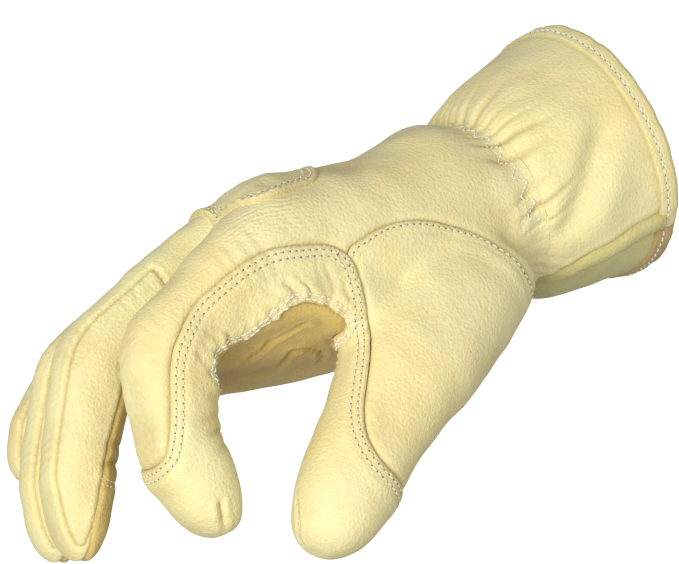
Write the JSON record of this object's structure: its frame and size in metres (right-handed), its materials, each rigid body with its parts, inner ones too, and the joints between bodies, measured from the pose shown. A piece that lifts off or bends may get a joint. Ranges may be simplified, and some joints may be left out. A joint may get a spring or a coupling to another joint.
{
  "type": "leather utility work glove, right hand",
  "caption": "Right-hand grain leather work glove in a relaxed pinch: double-stitched grip patch, padded knuckle patch, gathered wrist and flared, hemmed cuff, hollow for a hand.",
  "frame": {"origin": "middle of the wrist, in the plane where the cuff is gathered, on the cuff's axis", "axes": "+X runs up the arm along the cuff, +Z out of the back of the hand, -Y to the thumb's side"},
  "size_m": [0.2039, 0.1059, 0.1072],
  "materials": {
    "cream_leather": "matte",
    "palm_leather": "matte",
    "grip_leather": "matte",
    "side_leather": "matte",
    "patch_leather": "matte",
    "cuff_leather": "matte",
    "hem_leather": "matte",
    "hem_tan_leather": "matte"
  },
  "bodies": {
    "root": {"back_panel": "cream_leather", "palm_panel": "palm_leather", "grip_panel": "grip_leather", "thumb_panel": "cream_leather", "fourchette_index_middle": "side_leather", "fourchette_middle_ring": "side_leather", "fourchette_ring_little": "side_leather", "knuckle_patch": "patch_leather", "cuff_back": "cuff_leather", "cuff_front": "cuff_leather", "hem_back": "hem_leather", "hem_front": "hem_tan_leather"}
  },
  "joints": []
}
